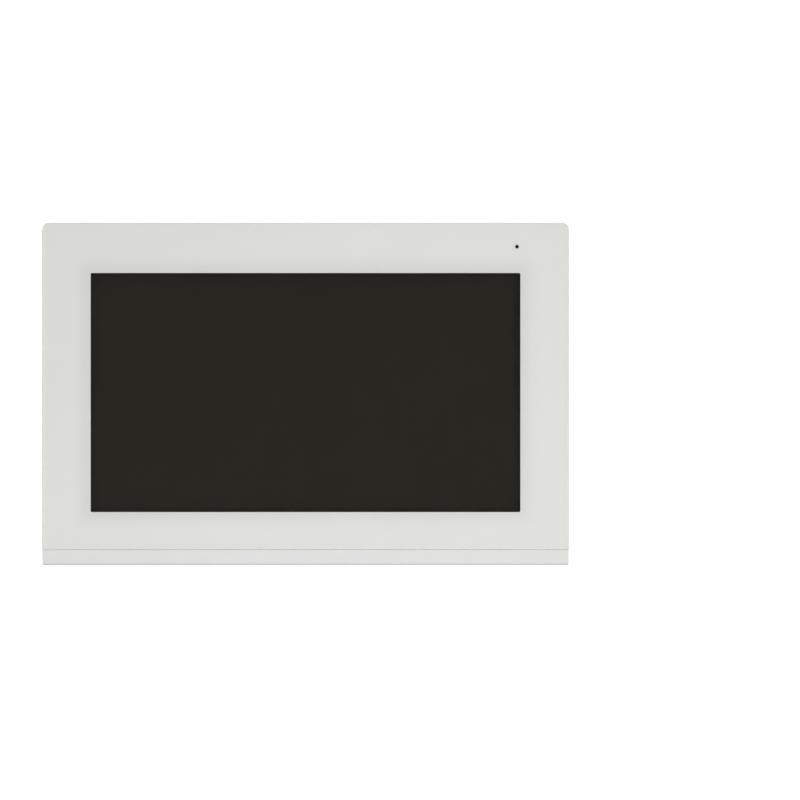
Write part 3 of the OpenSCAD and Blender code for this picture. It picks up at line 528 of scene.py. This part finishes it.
def glass_outline(inset):
    """The glass's outline drawn in by an inset, less at the foot, anticlockwise from the bottom right."""
    low_x, high_x = GLASS_LOW.x + inset, GLASS_HIGH.x - inset
    low_z, high_z = GLASS_LOW.z + inset * FOOT_GRIND, GLASS_HIGH.z - inset
    top = max(GLASS_R_TOP - inset, LEAST_R)
    foot = max(GLASS_R_BOTTOM - inset, LEAST_R)
    return (
        corner(high_x - foot, low_z + foot, foot, -90)
        + corner(high_x - top, high_z - top, top, 0)
        + corner(low_x + top, high_z - top, top, 90)
        + corner(low_x + foot, low_z + foot, foot, 180)
    )


def microphone_hole():
    """The hole's axis, which is that of the capsule behind it, and its radius in the glass."""
    low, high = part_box("microphone")
    cx, cz = (low.x + high.x) / 2, (low.z + high.z) / 2
    spans = [math.hypot(v.co.x - cx, v.co.z - cz) for v in NODES["front_glass"].data.vertices]
    return cx, cz, max(s for s in spans if s < HOLE_REACH)


def hole_outline(cx, cz, r):
    """A circle of points, anticlockwise."""
    turns = [math.tau * i / HOLE_STEPS for i in range(HOLE_STEPS)]
    return [(cx + r * math.cos(a), cz + r * math.sin(a)) for a in turns]


def rounded_profile(front, back, front_r, back_r, steps):
    """Insets and places along Y from the front face, round its edge, to the back face."""
    turns = [math.radians(90 * i / steps) for i in range(steps + 1)]
    nose = [(front_r * (1 - math.sin(a)), front + front_r * (1 - math.cos(a))) for a in turns]
    tail = [(back_r * (1 - math.cos(a)), back - back_r * (1 - math.sin(a))) for a in turns]
    return nose + tail


def ring(bm, outline, y):
    """New points along an outline, at a place along Y."""
    return [bm.verts.new((x, y, z)) for x, z in outline]


def wall(bm, rings, slot, flip):
    """Smooth faces between each ring and the next."""
    for near, far in zip(rings, rings[1:]):
        count = len(near)
        for i in range(count):
            j = (i + 1) % count
            corners = [near[i], near[j], far[j], far[i]]
            face = bm.faces.new(corners[::-1] if flip else corners)
            face.material_index = slot
            face.smooth = True


def cap(bm, rings, slot, towards):
    """A flat face between an outer and an inner ring, facing towards a direction."""
    edges = []
    for points in rings:
        edges += [
            bm.edges.get((a, b)) or bm.edges.new((a, b)) for a, b in zip(points, points[1:] + points[:1])
        ]
    made = bmesh.ops.triangle_fill(bm, use_beauty=True, edges=edges, normal=towards)
    for face in (g for g in made["geom"] if isinstance(g, bmesh.types.BMFace)):
        face.material_index = slot
        if face.normal.dot(towards) < 0:
            face.normal_flip()


def make_glass():
    """The front glass: clear faces, a ground rounded edge, and the chamfered microphone hole."""
    front, back = GLASS_LOW.y, GLASS_HIGH.y - OFF_INK
    bm = bmesh.new()
    edge = [
        ring(bm, glass_outline(inset), y)
        for inset, y in rounded_profile(front, back, EDGE_FRONT_R, EDGE_BACK_R, EDGE_STEPS)
    ]
    hole_x, hole_z, hole_r = microphone_hole()
    hole = [
        ring(bm, hole_outline(hole_x, hole_z, hole_r + inset), y)
        for inset, y in rounded_profile(front, back, HOLE_FRONT_R, HOLE_BACK_R, HOLE_EDGE_STEPS)
    ]
    wall(bm, edge, 1, False)
    wall(bm, hole, 1, True)
    cap(bm, (edge[0], hole[0]), 0, Vector((0, -1, 0)))
    cap(bm, (edge[-1], hole[-1]), 2, Vector((0, 1, 0)))
    bmesh.ops.recalc_face_normals(bm, faces=bm.faces)
    mesh = bpy.data.meshes.new("front_glass_panel")
    bm.to_mesh(mesh)
    bm.free()
    for look in ("glass", "glass_edge", "glass_back"):
        mesh.materials.append(LOOKS[look].material)
    piece = bpy.data.objects.new("front_glass_panel", mesh)
    bpy.context.scene.collection.objects.link(piece)
    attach(piece, "monitor")
    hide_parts("front_glass")


make_glass()

# ---------------------------------------------------------------- studio

FLOOR_DROP = 0.45
FLOOR_SIZE = 11.0
# the picture's width at the glass, and how far its middle lies right of and below the object's
VIEW_WIDTH = 0.2872
VIEW_RIGHT = 33.95 * MM
VIEW_DOWN = 2.13 * MM
CAMERA_AWAY = 2.4
CAMERA_SENSOR = 36
CAMERA_REACH = 50
# the surroundings' strength as light, in the dark patch, and as the backdrop that the camera sees
AMBIENT = 0.70
PATCH = 0.05
BACKDROP = 1.05
# the dark patch's inner and outer edge, in degrees from straight ahead
PATCH_INNER = 10
PATCH_OUTER = 20
# name: place in metres, size in metres and power in watts
LIGHTS = {
    "key": ((1.6, -2.9, 0.9), 1.4, 33),
    "fill": ((0.04, -0.45, -0.14), 0.3, 0.79),
    "back": ((-1.5, 2.4, 1.9), 1.6, 22),
}


def make_floor():
    """A plain pale floor below the object."""
    look = Look("floor", (0.72, 0.72, 0.72), 0.7)
    look.mottle(400 * MM, 0.01)
    mesh = bpy.data.meshes.new("floor")
    half = FLOOR_SIZE / 2
    z = cad_box[0].z - FLOOR_DROP
    corners = [(-half, -half, z), (half, -half, z), (half, half, z), (-half, half, z)]
    mesh.from_pydata(corners, [], [(0, 1, 2, 3)])
    mesh.materials.append(look.material)
    floor = bpy.data.objects.new("floor", mesh)
    bpy.context.scene.collection.objects.link(floor)


def make_world():
    """Even white surroundings, with a dark patch where the camera of a frontal picture stands."""
    world = bpy.data.worlds.new("studio")
    bpy.context.scene.world = world
    world.use_nodes = True
    tree = world.node_tree
    tree.nodes.clear()

    def add(kind, **settings):
        made = tree.nodes.new(kind)
        for key, value in settings.items():
            setattr(made, key, value)
        return made

    place = add("ShaderNodeTexCoord")
    axes = add("ShaderNodeSeparateXYZ")
    patch = add("ShaderNodeMapRange", interpolation_type="SMOOTHSTEP")
    patch.inputs["From Min"].default_value = -math.cos(math.radians(PATCH_INNER))
    patch.inputs["From Max"].default_value = -math.cos(math.radians(PATCH_OUTER))
    patch.inputs["To Min"].default_value = PATCH
    patch.inputs["To Max"].default_value = AMBIENT
    lit = add("ShaderNodeBackground")
    seen = add("ShaderNodeBackground")
    seen.inputs["Strength"].default_value = BACKDROP
    seen.inputs["Color"].default_value = (1, 1, 1, 1)
    path = add("ShaderNodeLightPath")
    both = add("ShaderNodeMixShader")
    out = add("ShaderNodeOutputWorld")
    tree.links.new(place.outputs["Generated"], axes.inputs[0])
    tree.links.new(axes.outputs["Y"], patch.inputs["Value"])
    tree.links.new(patch.outputs["Result"], lit.inputs["Strength"])
    tree.links.new(path.outputs["Is Camera Ray"], both.inputs[0])
    tree.links.new(lit.outputs[0], both.inputs[1])
    tree.links.new(seen.outputs[0], both.inputs[2])
    tree.links.new(both.outputs[0], out.inputs["Surface"])


def make_light(name, where, size, power):
    """A soft square light aimed at the frame's origin, and left out of mirror images."""
    data = bpy.data.lights.new(name, "AREA")
    data.size = size
    data.energy = power
    lamp = bpy.data.objects.new(name, data)
    lamp.location = where
    lamp.visible_glossy = False
    lamp.visible_camera = False
    lamp.rotation_euler = (-Vector(where)).to_track_quat("-Z", "Y").to_euler()
    bpy.context.scene.collection.objects.link(lamp)


def make_camera():
    """A camera that looks straight back at the front, with no depth of field."""
    low, high = cad_box
    data = bpy.data.cameras.new("camera")
    data.sensor_width = CAMERA_SENSOR
    data.lens = data.sensor_width * CAMERA_AWAY / VIEW_WIDTH
    data.clip_end = CAMERA_REACH
    camera = bpy.data.objects.new("camera", data)
    aim_x = (low.x + high.x) / 2 + VIEW_RIGHT
    aim_z = (low.z + high.z) / 2 - VIEW_DOWN
    camera.location = (aim_x, low.y - CAMERA_AWAY, aim_z)
    camera.rotation_euler = (math.radians(90), 0, 0)
    bpy.context.scene.collection.objects.link(camera)
    bpy.context.scene.camera = camera


make_floor()
make_world()
for lamp_name, (lamp_place, lamp_size, lamp_power) in LIGHTS.items():
    make_light(lamp_name, lamp_place, lamp_size, lamp_power)
make_camera()
bpy.context.scene.view_settings.view_transform = "Standard"
